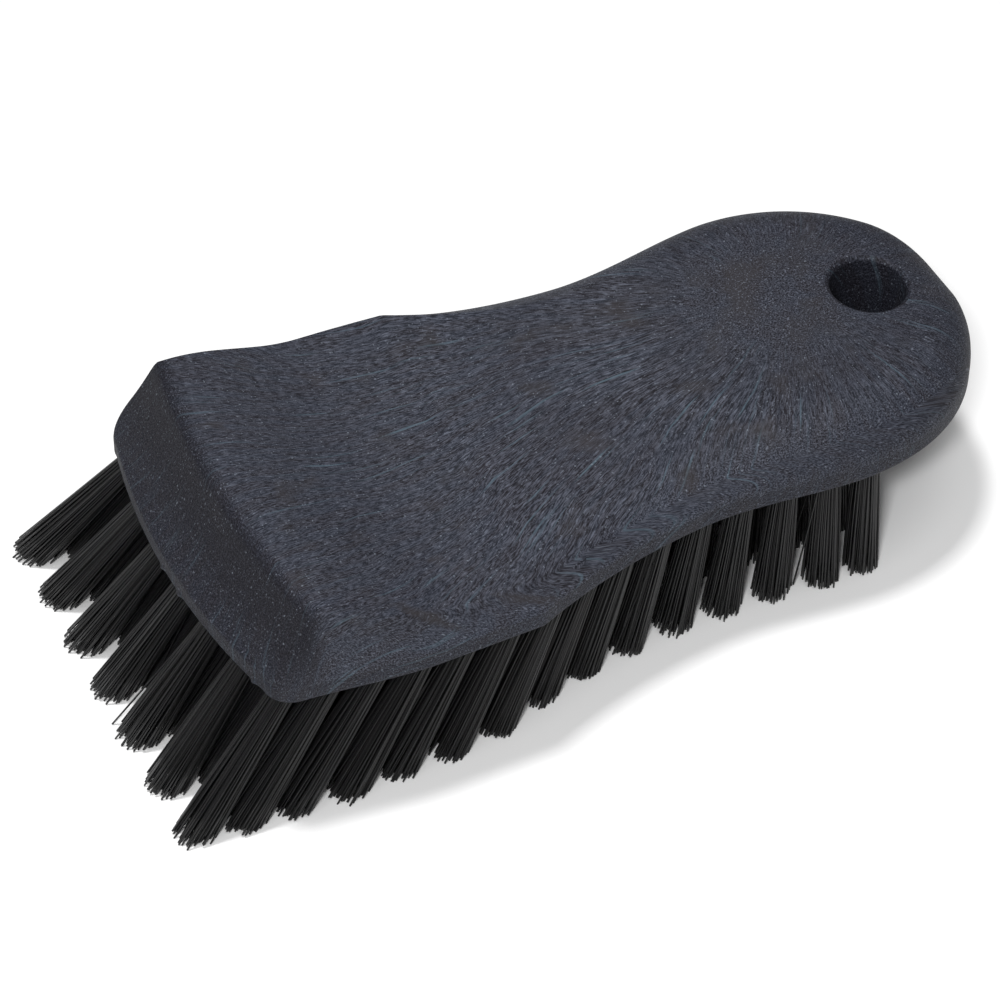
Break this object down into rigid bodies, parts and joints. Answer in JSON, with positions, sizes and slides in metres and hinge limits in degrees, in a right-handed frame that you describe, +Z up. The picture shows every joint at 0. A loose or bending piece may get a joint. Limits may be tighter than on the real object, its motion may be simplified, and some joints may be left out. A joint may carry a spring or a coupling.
{
  "type": "wheel brush",
  "caption": "Hand-held wheel and scrub brush: palm-shaped moulded block with a hang hole at the tail and stiff tufts raked forward at the square head.",
  "frame": {"origin": "centre of the bounding box's base, on the plane of the tuft tips that the brush stands on", "axes": "+X from the square head towards the tail with the hang hole; +Y to the right of a hand that pushes the head forward; +Z up, out of the palm side"},
  "size_m": [0.1698, 0.0836, 0.0445],
  "materials": {
    "block": "satin moulded structural foam with a fine fibrous swirl, dark slate blue",
    "filament": "satin extruded filament, black",
    "anchor": "plain drawn flat wire"
  },
  "bodies": {
    "root": {"anchor_front_1": "anchor", "anchor_front_2": "anchor", "anchor_front_3": "anchor", "anchor_front_4": "anchor", "anchor_front_5": "anchor", "anchor_front_6": "anchor", "anchor_front_7": "anchor", "block": "block", "tuft_front_2": "filament", "tuft_front_3": "filament", "tuft_front_4": "filament", "tuft_front_5": "filament", "tuft_front_6": "filament", "tuft_left_01": "filament", "tuft_left_02": "filament", "tuft_left_03": "filament", "tuft_left_04": "filament", "tuft_left_05": "filament", "tuft_left_06": "filament", "tuft_left_07": "filament", "tuft_left_08": "filament", "tuft_left_09": "filament", "tuft_left_10": "filament", "tuft_left_11": "filament", "tuft_left_12": "filament", "tuft_left_13": "filament", "tuft_left_14": "filament", "tuft_left_15": "filament", "tuft_rear_2": "filament", "tuft_rear_3": "filament", "tuft_rear_4": "filament", "tuft_rear_5": "filament", "tuft_right_01": "filament", "tuft_right_02": "filament", "tuft_right_03": "filament", "tuft_right_04": "filament", "tuft_right_05": "filament", "tuft_right_06": "filament", "tuft_right_07": "filament", "tuft_right_08": "filament", "tuft_right_09": "filament", "tuft_right_10": "filament", "tuft_right_11": "filament", "tuft_right_12": "filament", "tuft_right_13": "filament", "tuft_right_14": "filament", "tuft_right_15": "filament", "tuft_row_02": "filament", "tuft_row_03": "filament", "tuft_row_04": "filament", "tuft_row_05": "filament", "tuft_row_06": "filament", "tuft_row_07": "filament", "tuft_row_08": "filament", "tuft_row_09": "filament", "tuft_row_10": "filament", "tuft_row_11": "filament", "tuft_row_12": "filament", "tuft_row_13": "filament", "tuft_row_14": "filament"}
  },
  "joints": []
}
